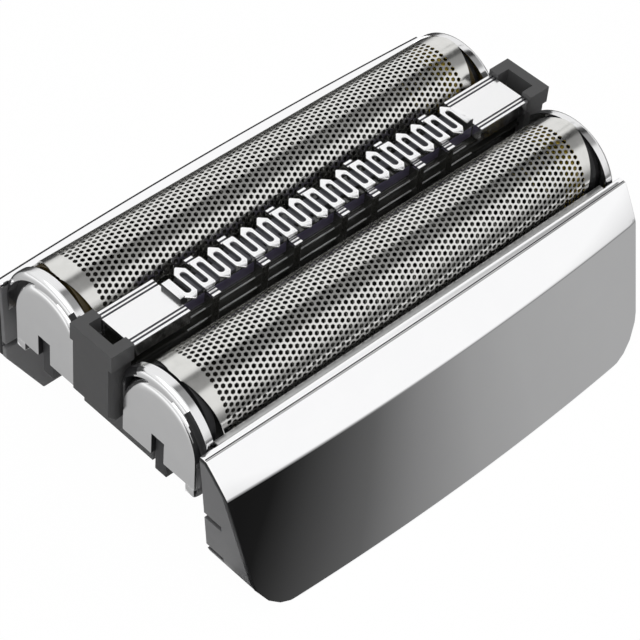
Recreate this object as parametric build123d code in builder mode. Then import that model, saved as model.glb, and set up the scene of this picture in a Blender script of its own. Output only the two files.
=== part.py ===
from build123d import *
from math import cos, radians, sin
import os

# Shaver foil head: two perforated foils over sprung cutter blocks, with a trimmer between them.
# X runs along the foils, Y from the front cover to the rear one, Z up. Sizes in millimetres.
# The origin is on the centre line of the trimmer, in the plane on which the head stands.

# Covers and liners
lip_half_length = 27.0          # half of the covers' length at their top
lip_height = 16.8               # top of the covers above the standing plane
lip_width = 0.8                 # flat land along the top of each cover
bevel_height = 3.3              # height of the front cover's bevel, from its crease to the lip
bevel_reach = 3.15              # the crease and the foot lie this far out from the inner face
foot_reach = 7.25
crease_inset = 0.4              # crease and foot are shorter than the lip by this much at each end
foot_inset = 1.8
lip_bow = 0.25                  # how far the lip, crease and foot bulge at mid length
crease_bow = 0.9
foot_bow = 1.0
front_corner_radius = 5.0
rear_reach = 1.55
rear_inset = 0.8
rear_bow = 0.6
rear_corner_run = 3.9           # slanted lower corner of the rear wall, along X and Z
rear_corner_rise = 7.6
cover_wall = 0.5
liner_wall = 1.0
liner_gap = 0.05                # glue gap between a cover and its liner
liner_rib = 0.9
liner_ribs = 3                  # cross ribs in the hollow of the front liner
snap_slit = 0.7                 # slits in the liners' ends, below the caps' hooks
snap_heights = (3.4, 8.1)
snap_depth = 2.2
snap_length = 2.0

# Foil units
foil_offset = 7.8               # centre line to the axis of each foil
foil_height = 16.55             # axis of the foil arches above the standing plane
foil_radius = 4.55
foil_wall = 0.2
foil_inset = 2.5                # the foils end this far inside the covers' ends
foil_skirt = 4.4                # depth of the foil's straight sides below its axis
foil_facets = 12                # flats that the half round is folded from, one for each row or gap
hole_columns = 15
hole_size = 0.65                # corner radius of a hexagonal hole
hole_margin = 2.4               # plain band at each end of a foil
foil_notch = 0.7                # the bands step back by this much below the crown
notch_rise = 3.3                # and the step lies this much above the foil's axis
unit_depth = 5.2                # foil axis to the underside of the foil unit
rail_height = 2.1
rail_wall = 0.8
seat_gap = 0.05                 # between pieces of one foil unit that plug together
bulkhead_wall = 0.8
bulkhead_overlap = 0.5          # how far a bulkhead reaches under its foil
web_wall = 0.8                  # webs of the foil frame that stand on the springs
float_travel = 1.5              # how far a foil unit gives way to the skin

# End caps of the foil units
ring_radius = 5.0
ring_length = 1.1
ring_skirt = 3.0                # how far the ring's sides reach below its axis
ring_wall = 0.5
ring_gap = 0.45                 # between a cap's ring and the liner beside it
cap_gap = 0.05                  # between a cap's ring and the bracket beside it
groove_depth = 0.7
plate_radius = 4.4
plate_drop = 0.4                # the plate's axis lies this much below the ring's
plate_shift = 0.25              # and this much nearer the centre line
plate_thickness = 0.7
plate_bevel = 0.45
leg_width = 1.5
leg_offset = 0.15               # the foil frame's leg lies this much nearer the centre line
leg_rise = 2.55                 # the leg's ends above and below the unit's underside
leg_drop = 2.25
leg_recess = 0.4                # the leg's face stands in from the plate's
hook_width = 1.9
hook_drop = 1.05
hook_step = 0.7

# Cutter blocks
blade_gap = 0.15                # running gap between the blades' edges and the foil
blade_count = 8
blade_thickness = 0.3
blade_rim = 1.2                 # metal between a blade's edge and its opening
blade_seat_drop = 1.3           # top of the carrier's base below the foil axis
carrier_base = 1.3
carrier_side_gap = 0.25         # between the carrier's base and the foil's sides
carrier_disc = 0.9
carrier_end_gap = 0.1           # left between carrier and bulkhead at the end of the stroke
stroke = 1.0                    # half of the cutters' travel along X
blade_margin = 1.6              # plain stretch of the carrier inside its end discs
coupling_half_length = 3.2
coupling_half_width = 2.4
coupling_height = 3.6
socket_radius = 1.15
socket_depth = 2.8

# Trimmer
trim_inset = 2.0                # the trimmer ends this far inside the covers' ends
trim_side_gap = 0.23            # it is narrower than the brackets by this much on each side
plate_length = 6.5              # bright end plates
plate_top = 20.3
guard_wall = 0.35
guard_skirt = 1.5
edge_groove = 0.22
edge_groove_depth = 0.15
edge_grooves = (0.37, 0.77)     # the grooves' distances from the plates' edges
comb_rise = 0.5                 # the comb stands this much above the end plates
comb_tips = 18
comb_lead = 0.65                # between the comb's step and its first tip
comb_inset = 0.55               # the comb is narrower than the plates by this much on each side
comb_point = 0.7                # length of a tip's point
comb_slot = 0.5
comb_bridge = 0.9               # metal between a slot's closed end and the tip
point_width = 0.25
comb_step = 0.5                 # length of the step between comb and plates
tab_tips = (2, 5, 7, 10, 12, 15, 17)    # front tips that carry a tab with a stepped edge
tab_point_cut = 0.28            # a tab's tip ends this much short of the pointed ones
tab_point_width = 1.2
tab_width = 0.95
tab_wall = 0.3
trim_blade_wall = 0.3
trim_blade_side_gap = 0.1       # between the moving blade and the tabs' walls
trim_blade_slot = 0.8
trim_blade_slots = 17
trim_blade_tooth = 0.8
trim_blade_end = 0.6            # plain stretch at each end of the moving blade
trim_stroke = 0.7
trim_gap = 0.05                 # running gap above and below the moving trimmer blade
trim_end_gap = 0.3              # left between blade and guard at the end of the stroke
support_inset = 0.62            # the support's web is narrower than the comb by this much
support_height = 4.5            # plates' top down to the support's base rail
base_rail_height = 1.8
base_rail_gap = 0.15            # the base rail is narrower than the brackets by this much
rib_wall = 0.9
rib_inset = 0.1                 # the ribs end this far inside the tabs
ledge_height = 0.3
ledges = ((2.45, 0.3), (3.45, 0.6))     # the support's ledges: drop from the plates' top, and overhang
lug_half_width = 1.2            # the support's end lugs slide between the brackets' cheeks
lug_length = 0.8
lug_drop = 2.3
post_length = 1.4
post_half_width = 0.6
post_drop = 3.8                 # how far the drive post reaches below the base rail
foot_half = 1.9
foot_height = 1.2
post_clearance = 0.3
trim_travel = 1.2

# End brackets and chassis
bracket_gap = 0.1               # between a bracket and the trimmer's end
bracket_length = 2.6
rim_height = 1.9
rim_wall = 1.15
cheek_wall = 0.85
bracket_set_back = 0.4          # the cheeks below the rim stand in by this much
bracket_toe = 0.9               # bevel along the foot of the bracket's outer face
bracket_wall = 1.1
sole_wall = 0.5
sole_length = 2.5               # the sole runs in under the base rail
arm_gap = 0.15                  # between the arms and the caps and bulkheads beside and above them
arm_reach = 6.1
arm_back = 3.2                  # how far an arm runs past the centre line the other way
arm_height = 2.8
beam_inset = 7.0                # cross beams between the long walls
beam_length = 3.0
beam_bottom = 2.3
beam_top = 7.6
beam_wall = 1.0
side_bar = 1.0
side_bar_height = 2.0
spine_overlap = 1.4             # how far a bracket's sole lies on its spine
spine_height = 2.2
boss_half = 0.5                 # square pegs that centre the springs
boss_height = 0.6

# Springs
spring_wire = 0.36
spring_radius = 1.0
spring_turns = 3
spring_sides = 8                # straight runs in one turn
spring_play = 0.1               # between a spring's ends and its seats
spring_pocket = 1.0             # depth of the trimmer springs' pockets in the spines
pocket_half = 1.3

# Sizes that follow: the long walls
inner_face = foil_offset + ring_radius + ring_gap
crease_height = lip_height - bevel_height

# Foil units
foil_half_length = lip_half_length - foil_inset
foil_inside = foil_radius - foil_wall
unit_bottom = foil_height - unit_depth
seat_radius = foil_inside - seat_gap
bulkhead_inner = foil_half_length - bulkhead_overlap
cap_inner = bulkhead_inner + bulkhead_wall
ring_outer = cap_inner + ring_length
plate_outer = ring_outer + plate_thickness
blade_radius = foil_inside - blade_gap
carrier_top = foil_height - blade_seat_drop
carrier_bottom = carrier_top - carrier_base
carrier_half_length = bulkhead_inner - stroke - carrier_end_gap

# Trimmer
bracket_half_width = foil_offset - ring_radius - cap_gap
trim_half_length = lip_half_length - trim_inset
trim_half_width = bracket_half_width - trim_side_gap
plate_inner = trim_half_length - plate_length
trim_floor = plate_top - guard_wall
comb_top = plate_top + comb_rise
comb_bottom = comb_top - guard_wall
comb_end = plate_inner - comb_step
comb_reach = trim_half_width - comb_inset
tab_reach = comb_reach - tab_point_cut
comb_pitch = 2 * (comb_end - comb_lead) / (comb_tips - 0.5)
trim_blade_top = comb_bottom - trim_gap
trim_blade_bottom = trim_blade_top - trim_blade_wall
trim_blade_half_length = comb_end - trim_stroke - trim_end_gap
trim_blade_half_width = tab_reach - tab_wall - trim_blade_side_gap
support_top = trim_blade_bottom - trim_gap
rail_top = plate_top - support_height
rail_bottom = rail_top - base_rail_height
post_bottom = rail_bottom - post_drop

# Brackets, chassis and springs
bracket_inner = trim_half_length + bracket_gap
bracket_reach = bracket_inner + bracket_length
pocket_floor = rail_bottom - trim_travel - post_clearance
bracket_bottom = pocket_floor - sole_wall
sole_inner = bracket_inner - sole_length
arm_top = foil_height - ring_skirt - float_travel - arm_gap
beam_outer = lip_half_length - beam_inset
beam_inner = beam_outer - beam_length
spring_place = (beam_inner + beam_outer) / 2

os.makedirs("parts", exist_ok=True)
wall_span = inner_face + foot_reach + foot_bow
SIDES = (("front", -1), ("rear", 1))
ENDS = (("left", -1), ("right", 1))


def save(builder, label):
    """Names a finished piece and writes it as its own STEP file."""
    builder.part.label = label
    export_step(builder.part, f"parts/{label}.step")


def cross_section(x):
    """Plane across the head at x, with local x along Y and local y along Z."""
    return Plane(origin=(x, 0, 0), x_dir=(0, 1, 0), z_dir=(1, 0, 0))


def block(x_range, y_range, z_range, mode=Mode.ADD):
    """A rectangular block between two values on each axis, in any order."""
    spans = [sorted(values) for values in (x_range, y_range, z_range)]
    with Locations([tuple((low + high) / 2 for low, high in spans)]):
        Box(*(high - low for low, high in spans), mode=mode)


def arch(x, centre, axis_height, radius, low, inner_radius=None, inner_low=None):
    """Section at x of a half round over straight sides, solid or as a band."""
    with BuildSketch(cross_section(x)) as section:
        for size, base, mode in ((radius, low, Mode.ADD), (inner_radius, inner_low, Mode.SUBTRACT)):
            if size is None:
                continue
            with BuildLine():
                first = Line((centre - size, base), (centre - size, axis_height))
                crown = ThreePointArc(first @ 1, (centre, axis_height + size), (centre + size, axis_height))
                last = Line(crown @ 1, (centre + size, base))
                Line(last @ 1, first @ 0)
            make_face(mode=mode)
    return section.sketch


def folded(x, centre, radius):
    """Section at x of the foil's outline, with its half round folded from flats."""
    turn = 180 / foil_facets
    angles = [radians(turn * (number + 0.5) - 90) for number in range(foil_facets)]
    corner = radius / cos(radians(turn / 2))
    crown = [(centre + corner * sin(angle), foil_height + corner * cos(angle)) for angle in angles]
    low = foil_height - foil_skirt
    with BuildSketch(cross_section(x)) as section:
        with BuildLine():
            Polyline((centre - radius, low), *crown, (centre + radius, low), close=True)
        make_face()
    return section.sketch


def blend(low, high, share):
    return low + (high - low) * share


def wall_levels(side, trim, top_drop):
    """Height, half length, reach and bow of a long wall's levels, with trim taken off the outer face."""
    if side < 0:
        levels = [(0, lip_half_length - foot_inset, foot_reach, foot_bow),
                  (crease_height, lip_half_length - crease_inset, bevel_reach, crease_bow),
                  (lip_height, lip_half_length, lip_width, lip_bow)]
    else:
        levels = [(0, lip_half_length - rear_inset, rear_reach, rear_bow),
                  (lip_height, lip_half_length, lip_width, rear_bow)]
    below, last = levels[-2], levels[-1]
    share = 1 - top_drop / (last[0] - below[0])
    levels[-1] = tuple(blend(a, b, share) for a, b in zip(below, last))
    return [(height, half, inner_face + reach - trim, bow) for height, half, reach, bow in levels]


def wall_plans(side, trim, top_drop, inner, shorten=0):
    """Plans of a long wall at its levels: straight inner face, outer face bowed by an arc."""
    plans = []
    for height, full, reach, bow in wall_levels(side, trim, top_drop):
        half = full - shorten
        with BuildSketch(Plane.XY.offset(height)) as plan:
            with BuildLine():
                near = Line((-half, side * inner), (-half, side * reach))
                bulge = ThreePointArc(near @ 1, (0, side * (reach + bow)), (half, side * reach))
                far = Line(bulge @ 1, (half, side * inner))
                Line(far @ 1, near @ 0)
            make_face()
        plans.append(plan.sketch)
    return plans


def tab_places(side):
    """X of the comb tips that carry a tab on one side of the trimmer."""
    return [side * (comb_end - comb_lead - (tip - 1) * comb_pitch) for tip in tab_tips]


def wedge(x, inner, trim):
    """Section at x of the hollow behind the front cover, from its floor to the crease."""
    with BuildSketch(cross_section(x)) as section:
        with BuildLine():
            Polyline((inner, crease_height), (inner, 0), (trim - inner_face - foot_reach, 0),
                     (trim - inner_face - bevel_reach, crease_height), close=True)
        make_face()
    return section.sketch


def wall_outline(side):
    """Front view of a long wall, with its lower corners rounded in front and slanted at the rear."""
    with BuildSketch(Plane.XZ.offset(-wall_span)) as outline:
        with BuildLine():
            if side < 0:
                foot = lip_half_length - foot_inset
                corners = [(-lip_half_length, lip_height), (-foot, 0), (foot, 0), (lip_half_length, lip_height)]
                FilletPolyline(*corners, radius=front_corner_radius)
                Line(corners[-1], corners[0])
            else:
                cut = lip_half_length - rear_inset - rear_corner_run
                Polyline((-lip_half_length, lip_height), (-lip_half_length, rear_corner_rise), (-cut, 0),
                         (cut, 0), (lip_half_length, rear_corner_rise), (lip_half_length, lip_height), close=True)
        make_face()
    return outline.sketch


# Long walls: a thin bright cover over a moulded liner, front and rear
for name, side in SIDES:
    with BuildPart() as hollow:
        loft(wall_plans(side, cover_wall, cover_wall, inner_face), ruled=True)
    with BuildPart() as cover:
        loft(wall_plans(side, 0, 0, inner_face), ruled=True)
        add(hollow.part, mode=Mode.SUBTRACT)
        extrude(wall_outline(side), amount=2 * wall_span, mode=Mode.INTERSECT)
    save(cover, f"{name}_cover")

    trim = cover_wall + liner_gap
    with BuildPart() as liner:
        loft(wall_plans(side, trim, trim, inner_face), ruled=True)
        if side < 0:
            room = wall_plans(side, trim + liner_wall, trim, inner_face + liner_wall, front_corner_radius)
            loft(room[:2], ruled=True, mode=Mode.SUBTRACT)
        extrude(wall_outline(side), amount=2 * wall_span, mode=Mode.INTERSECT)
        if side < 0:
            for number in range(1, liner_ribs + 1):
                room_half = lip_half_length - foot_inset - front_corner_radius
                at = (2 * number / (liner_ribs + 1) - 1) * room_half
                extrude(wedge(at - liner_rib / 2, side * (inner_face + liner_wall), trim + liner_wall),
                        amount=liner_rib)
        for end in (-1, 1):
            for height in snap_heights:
                block((end * (lip_half_length - snap_length), end * lip_half_length),
                      (side * inner_face, side * (inner_face + snap_depth)),
                      (height, height + snap_slit), Mode.SUBTRACT)
    save(liner, f"{name}_liner")

# Chassis: two cross beams and two side bars between the long walls, with a spine to each bracket
with BuildPart() as chassis:
    for end in (-1, 1):
        block((end * beam_inner, end * beam_outer), (-inner_face, inner_face), (beam_bottom, beam_top))
        block((end * (beam_inner + beam_wall), end * (beam_outer - beam_wall)),
              (-inner_face + beam_wall, inner_face - beam_wall), (0, beam_top - beam_wall), Mode.SUBTRACT)
    for side in (-1, 1):
        block((-beam_inner, beam_inner), (side * inner_face, side * (inner_face - side_bar)),
              (beam_bottom, beam_bottom + side_bar_height))
    for end in (-1, 1):
        wall_half = bracket_half_width - bracket_set_back
        block((end * beam_inner, end * beam_outer), (-wall_half, wall_half), (beam_top, bracket_bottom))
        block((end * beam_inner, end * (sole_inner + spine_overlap)), (-wall_half, wall_half),
              (bracket_bottom - spine_height, bracket_bottom))
        spring_at = (end * spring_place, 0, bracket_bottom - spring_pocket / 2)
        with Locations(spring_at):
            Box(2 * pocket_half, 2 * pocket_half, spring_pocket, mode=Mode.SUBTRACT)
        for offset, base in ((-foil_offset, beam_top), (foil_offset, beam_top),
                             (0, bracket_bottom - spring_pocket)):
            with Locations((end * spring_place, offset, base + boss_height / 2)):
                Box(2 * boss_half, 2 * boss_half, boss_height)
save(chassis, "chassis")

# End brackets: a U-shaped rim round a pocket, on a narrower wall, with an arm towards one foil unit
for end_name, end in ENDS:
    wall_half = bracket_half_width - bracket_set_back
    with BuildPart() as bracket:
        block((end * bracket_inner, end * bracket_reach), (-bracket_half_width, bracket_half_width),
              (comb_top - rim_height, comb_top))
        block((end * bracket_inner, end * bracket_reach), (-wall_half, wall_half),
              (bracket_bottom, comb_top - rim_height))
        outer_face = bracket.faces().sort_by(Axis.X)[-1 if end > 0 else 0]
        chamfer(outer_face.edges().sort_by(Axis.Z)[0], bracket_toe)
        block((end * bracket_inner, end * (bracket_reach - rim_wall)),
              (rim_wall - bracket_half_width, bracket_half_width - rim_wall),
              (comb_top - rim_height, comb_top), Mode.SUBTRACT)
        block((end * bracket_inner, end * (bracket_reach - bracket_wall)),
              (cheek_wall - wall_half, wall_half - cheek_wall),
              (pocket_floor, comb_top - rim_height), Mode.SUBTRACT)
        block((end * sole_inner, end * bracket_inner), (-wall_half, wall_half),
              (bracket_bottom, pocket_floor))
        arm_span = (end * (cap_inner + arm_gap), end * (ring_outer - arm_gap))
        block(arm_span, (-end * arm_back, end * arm_reach), (arm_top - arm_height, arm_top))
        block(arm_span, (-wall_half, wall_half), (arm_top - arm_height, pocket_floor))
    save(bracket, f"{end_name}_bracket")

# Foils: a thin arch with straight sides, perforated by staggered rows of hexagons
with BuildPart() as front_foil:
    extrude(folded(-foil_half_length, -foil_offset, foil_radius), amount=2 * foil_half_length)
    extrude(folded(-foil_half_length, -foil_offset, foil_inside), amount=2 * foil_half_length,
            mode=Mode.SUBTRACT)
    pitch = 2 * (foil_half_length - hole_margin) / (hole_columns - 0.5)
    for row in range(foil_facets // 2):
        turn = radians(180 / foil_facets * (2 * row + 1) - 90)
        normal = Vector(0, sin(turn), cos(turn))
        axis = Vector(0, -foil_offset, foil_height)
        shift = pitch / 2 * (row % 2) - foil_half_length + hole_margin
        with BuildSketch(Plane(axis + normal * (foil_inside - foil_wall), (1, 0, 0), normal)) as holes:
            with Locations([(shift + column * pitch, 0) for column in range(hole_columns)]):
                RegularPolygon(hole_size, 6)
        extrude(holes.sketch, amount=3 * foil_wall, mode=Mode.SUBTRACT)
    for end in (-1, 1):
        block((end * (foil_half_length - foil_notch), end * foil_half_length),
              (-foil_offset - foil_radius, -foil_offset + foil_radius),
              (foil_height - foil_skirt, foil_height + notch_rise), Mode.SUBTRACT)
save(front_foil, "front_foil")
with BuildPart() as rear_foil:
    mirror(front_foil.part, about=Plane.XZ)
save(rear_foil, "rear_foil")

for name, side in SIDES:
    centre = side * foil_offset

    # Foil frame: two rails, a bulkhead at each end with its leg, and webs on the springs
    with BuildPart() as foil_frame:
        for hand in (-1, 1):
            block((-bulkhead_inner, bulkhead_inner),
                  (centre + hand * seat_radius, centre + hand * (seat_radius - rail_wall)),
                  (unit_bottom, unit_bottom + rail_height))
        for end in (-1, 1):
            inner, outer = sorted((end * bulkhead_inner, end * cap_inner))
            extrude(arch(inner, centre, foil_height, seat_radius, unit_bottom), amount=outer - inner)
            block((end * cap_inner, end * (plate_outer - leg_recess)),
                  (centre - side * (leg_offset - leg_width / 2), centre - side * (leg_offset + leg_width / 2)),
                  (unit_bottom - leg_drop, unit_bottom + leg_rise))
            block((end * (spring_place - spring_radius), end * (spring_place + spring_radius)),
                  (centre - seat_radius + rail_wall, centre + seat_radius - rail_wall),
                  (unit_bottom, unit_bottom + web_wall))
    save(foil_frame, f"{name}_foil_frame")

    # End caps: a ring against the bulkhead and a rounded plate with a hooked foot
    for end_name, end in ENDS:
        plate_centre = side * (foil_offset - plate_shift)
        plate_axis = foil_height - plate_drop
        hook_outer = plate_centre + side * plate_radius
        with BuildPart() as cap:
            ring_at, plate_at = (-ring_outer, -plate_outer) if end < 0 else (cap_inner, ring_outer)
            extrude(arch(ring_at, centre, foil_height, ring_radius, foil_height - ring_skirt),
                    amount=ring_length)
            rim = arch(ring_at, centre, foil_height, ring_radius - ring_wall, plate_axis)
            groove = extrude(rim, amount=ring_length, mode=Mode.PRIVATE)
            keep = ring_length - groove_depth
            with BuildPart(mode=Mode.PRIVATE) as outer_half:
                block((end * (cap_inner + keep), end * ring_outer), (centre, centre + side * ring_radius),
                      (plate_axis, foil_height + ring_radius))
            add(outer_half.part & groove, mode=Mode.SUBTRACT)
            extrude(arch(plate_at, plate_centre, plate_axis, plate_radius, unit_bottom),
                    amount=plate_thickness)
            face = cap.faces().sort_by(Axis.X)[-1 if end > 0 else 0]
            outline = [edge for edge in face.edges() if edge.center().Z > unit_bottom + plate_bevel]
            chamfer(outline, plate_bevel)
            extrude(arch(ring_at, plate_centre, plate_axis, plate_radius - plate_bevel,
                         foil_height - ring_skirt), amount=ring_length)
            block((end * ring_outer, end * plate_outer), (hook_outer, hook_outer - side * hook_width),
                  (unit_bottom - hook_drop, unit_bottom))
            block((end * ring_outer, end * plate_outer), (hook_outer, hook_outer - side * hook_step),
                  (unit_bottom - hook_drop, unit_bottom - hook_drop / 2), Mode.SUBTRACT)
            half_slot = leg_width / 2 + seat_gap
            block((end * cap_inner, end * plate_outer),
                  (centre - side * (leg_offset - half_slot), centre - side * (leg_offset + half_slot)),
                  (unit_bottom, unit_bottom + leg_rise + seat_gap), Mode.SUBTRACT)
        save(cap, f"{name}_cap_{end_name}")

    # Cutter block: carrier with end discs, a row of open arched blades, and the coupling below
    with BuildPart() as carrier:
        half = foil_inside - carrier_side_gap
        block((-carrier_half_length, carrier_half_length), (centre - half, centre + half),
              (carrier_bottom, carrier_top))
        for at in (-carrier_half_length, carrier_half_length - carrier_disc):
            extrude(arch(at, centre, foil_height, blade_radius - seat_gap, carrier_top), amount=carrier_disc)
    save(carrier, f"{name}_blade_carrier")

    with BuildPart() as blades:
        first = blade_margin + carrier_disc - carrier_half_length
        step = -2 * first / (blade_count - 1)
        for number in range(blade_count):
            at = first + number * step - blade_thickness / 2
            extrude(arch(at, centre, foil_height, blade_radius, carrier_top), amount=blade_thickness)
            inside = blade_radius - blade_rim
            with BuildSketch(cross_section(at)) as opening:
                with BuildLine():
                    Polyline((centre - inside, carrier_top), (centre - inside, foil_height),
                             (centre - inside / 2, foil_height + inside * cos(radians(30))),
                             (centre + inside / 2, foil_height + inside * cos(radians(30))),
                             (centre + inside, foil_height), (centre + inside, carrier_top), close=True)
                make_face()
            extrude(opening.sketch, amount=blade_thickness, mode=Mode.SUBTRACT)
    save(blades, f"{name}_blades")

    with BuildPart() as coupling:
        base = carrier_bottom - coupling_height
        block((-coupling_half_length, coupling_half_length),
              (centre - coupling_half_width, centre + coupling_half_width), (base, carrier_bottom))
        with BuildSketch(Plane.XY.offset(base)) as socket:
            with Locations((0, centre)):
                Circle(socket_radius)
        extrude(socket.sketch, amount=socket_depth, mode=Mode.SUBTRACT)
    save(coupling, f"{name}_drive_coupling")

# Trimmer guard: bright end plates joined by a serpentine comb whose slots open to either side in turn
with BuildPart() as trimmer_guard:
    shoulder = comb_reach - comb_point
    half_tip = (comb_pitch - comb_slot) / 2
    for end in (-1, 1):
        plate_span = (end * plate_inner, end * trim_half_length)
        skirt_low = plate_top - guard_skirt
        block(plate_span, (-trim_half_width, trim_half_width), (skirt_low, plate_top))
        block(plate_span, (guard_wall - trim_half_width, trim_half_width - guard_wall),
              (skirt_low, trim_floor), Mode.SUBTRACT)
        block((end * comb_end, end * plate_inner), (-shoulder, shoulder),
              (trim_floor, comb_top))
        for from_edge in edge_grooves:
            for side in (-1, 1):
                offset = trim_half_width - from_edge
                block(plate_span, (side * (offset - edge_groove / 2), side * (offset + edge_groove / 2)),
                      (plate_top - edge_groove_depth, plate_top), Mode.SUBTRACT)
    with BuildSketch(Plane.XY.offset(comb_bottom)) as comb:
        Rectangle(2 * comb_end, 2 * shoulder)
        for side in (-1, 1):
            closed_end = comb_reach - comb_bridge
            for tip in range(comb_tips):
                at = side * (comb_end - comb_lead - tip * comb_pitch)
                tabbed = tip + 1 in tab_tips
                blunt, reach = (tab_point_width, tab_reach) if tabbed else (point_width, comb_reach)
                with BuildLine():
                    Polyline((at - half_tip, side * shoulder), (at - blunt / 2, side * reach),
                             (at + blunt / 2, side * reach), (at + half_tip, side * shoulder), close=True)
                make_face()
                with Locations((at, side * (closed_end - comb_reach) / 2)):
                    Rectangle(comb_slot, closed_end + comb_reach, mode=Mode.SUBTRACT)
    extrude(comb.sketch, amount=guard_wall)
    for side in (-1, 1):
        for at in tab_places(side):
            tab_span = (at - tab_width / 2, at + tab_width / 2)
            block(tab_span, (side * tab_reach, side * (tab_reach - tab_wall)), (trim_floor, comb_bottom))
            block(tab_span, (side * trim_half_width, side * (tab_reach - tab_wall)), (trim_floor, plate_top))
            offset = trim_half_width - edge_grooves[0]
            block(tab_span, (side * (offset - edge_groove / 2), side * (offset + edge_groove / 2)),
                  (plate_top - edge_groove_depth, plate_top), Mode.SUBTRACT)
save(trimmer_guard, "trimmer_guard")

# Trimmer support: an upright web on a base rail, with a rib under each tab and lugs in the brackets
with BuildPart() as trimmer_support:
    support_half = comb_reach - support_inset
    rail_half = bracket_half_width - base_rail_gap
    block((-trim_half_length, trim_half_length), (-support_half, support_half), (rail_top, trim_floor))
    block((-comb_end, comb_end), (-support_half, support_half), (trim_floor, support_top))
    block((-trim_half_length, trim_half_length), (-rail_half, rail_half), (rail_bottom, rail_top))
    for drop, overhang in ledges:
        block((-trim_half_length, trim_half_length), (-support_half - overhang, support_half + overhang),
              (plate_top - drop, plate_top - drop + ledge_height))
    for side in (-1, 1):
        for at in tab_places(side):
            block((at - rib_wall / 2, at + rib_wall / 2), (0, side * (trim_half_width - rib_inset)),
                  (rail_top, trim_floor))
    for end in (-1, 1):
        block((end * trim_half_length, end * (trim_half_length + lug_length)),
              (-lug_half_width, lug_half_width), (rail_bottom, plate_top - lug_drop))
    slot_half = post_length / 2 + trim_stroke + post_clearance
    slot_side = post_half_width + post_clearance
    block((-slot_half, slot_half), (-slot_side, slot_side), (rail_bottom, support_top), Mode.SUBTRACT)
save(trimmer_support, "trimmer_support")

# Moving trimmer blade under the comb, and the post that drives it from below
with BuildPart() as trimmer_blade:
    with BuildSketch(Plane.XY.offset(trim_blade_bottom)) as strip:
        Rectangle(2 * trim_blade_half_length, 2 * trim_blade_half_width)
        toothed = trim_blade_half_length - trim_blade_end
        slot_pitch = 2 * toothed / trim_blade_slots
        tooth_root = trim_blade_half_width - trim_blade_tooth / 2
        slot_places = [(slot_pitch * (number + 0.5) - toothed, side * tooth_root)
                       for number in range(trim_blade_slots) for side in (-1, 1)]
        with Locations(slot_places):
            Rectangle(trim_blade_slot, trim_blade_tooth, mode=Mode.SUBTRACT)
    extrude(strip.sketch, amount=trim_blade_wall)
save(trimmer_blade, "trimmer_blade")

with BuildPart() as trimmer_drive_post:
    block((-post_length / 2, post_length / 2), (-post_half_width, post_half_width),
          (post_bottom, trim_blade_bottom))
    block((-foot_half, foot_half), (-foot_half, foot_half), (post_bottom, post_bottom + foot_height))
    block((-post_length / 2, post_length / 2), (-foot_half, foot_half),
          (post_bottom, post_bottom + foot_height / 2), Mode.SUBTRACT)
save(trimmer_drive_post, "trimmer_drive_post")

# Coil springs under the foil units and the trimmer
for name, offset, seat, under in (("front", -foil_offset, beam_top, unit_bottom),
                                  ("rear", foil_offset, beam_top, unit_bottom),
                                  ("trimmer", 0, bracket_bottom - spring_pocket, rail_bottom)):
    for end_name, end in ENDS:
        start = seat + spring_play + spring_wire / 2
        rise = under - spring_play - spring_wire / 2 - start
        runs = spring_turns * spring_sides
        corners = [(end * spring_place + spring_radius * cos(radians(360 * number / spring_sides)),
                    offset + spring_radius * sin(radians(360 * number / spring_sides)),
                    start + rise * number / runs) for number in range(runs + 1)]
        with BuildPart() as spring:
            with BuildLine() as coil:
                Polyline(*corners)
            with BuildSketch(Plane(corners[0], z_dir=Vector(*corners[1]) - Vector(*corners[0]))):
                Rectangle(spring_wire, spring_wire)
            sweep(path=coil.line, transition=Transition.RIGHT)
        save(spring, f"{name}_spring_{end_name}")
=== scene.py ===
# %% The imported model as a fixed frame
from math import atan, cos, hypot, pi, radians, sin, sqrt

import bmesh
import bpy
from mathutils import Matrix, Vector


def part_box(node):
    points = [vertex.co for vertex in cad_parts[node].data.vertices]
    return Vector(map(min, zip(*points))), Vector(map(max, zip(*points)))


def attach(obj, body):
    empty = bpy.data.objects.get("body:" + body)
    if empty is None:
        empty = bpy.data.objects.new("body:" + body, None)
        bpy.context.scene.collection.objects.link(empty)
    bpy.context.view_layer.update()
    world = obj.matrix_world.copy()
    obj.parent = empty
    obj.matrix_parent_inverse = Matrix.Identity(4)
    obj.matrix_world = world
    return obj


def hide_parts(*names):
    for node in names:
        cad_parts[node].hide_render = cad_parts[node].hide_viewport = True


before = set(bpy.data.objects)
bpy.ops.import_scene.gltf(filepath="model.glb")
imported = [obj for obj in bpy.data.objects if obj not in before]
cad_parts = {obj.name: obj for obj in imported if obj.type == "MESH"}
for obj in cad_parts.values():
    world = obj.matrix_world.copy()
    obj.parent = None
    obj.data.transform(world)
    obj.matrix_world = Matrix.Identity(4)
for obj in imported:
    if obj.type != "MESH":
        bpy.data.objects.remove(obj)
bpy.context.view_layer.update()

# %% [markdown]
# A shaver foil head is two thin perforated steel arches over rows of moving blades, with a comb
# trimmer between them and bright covers in front and behind. Almost everything on it is metal or
# dark moulded plastic, so its look comes from clean edges, from the fine holes, and from what the
# bright surfaces reflect. The camera comes first, because every later piece is judged through it.

# %% Camera
camera_place = Vector((-0.117305, -0.106840, 0.168210))
camera_heading = radians(47.935)
camera_tilt = radians(45.841)
camera_roll = radians(5.509)
bpy.ops.object.camera_add(location=camera_place)
camera = bpy.context.object
camera.name = "camera"
turned = Matrix.Rotation(-camera_heading, 3, "Z") @ Matrix.Rotation(pi / 2 - camera_tilt, 3, "X")
camera.rotation_euler = (turned @ Matrix.Rotation(camera_roll, 3, "Z")).to_euler()
camera.data.sensor_width = 36
camera.data.lens = 133.57
camera.data.clip_start = 0.01
camera.data.clip_end = 20
bpy.context.scene.camera = camera
bpy.context.scene.view_settings.view_transform = "Standard"

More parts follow.
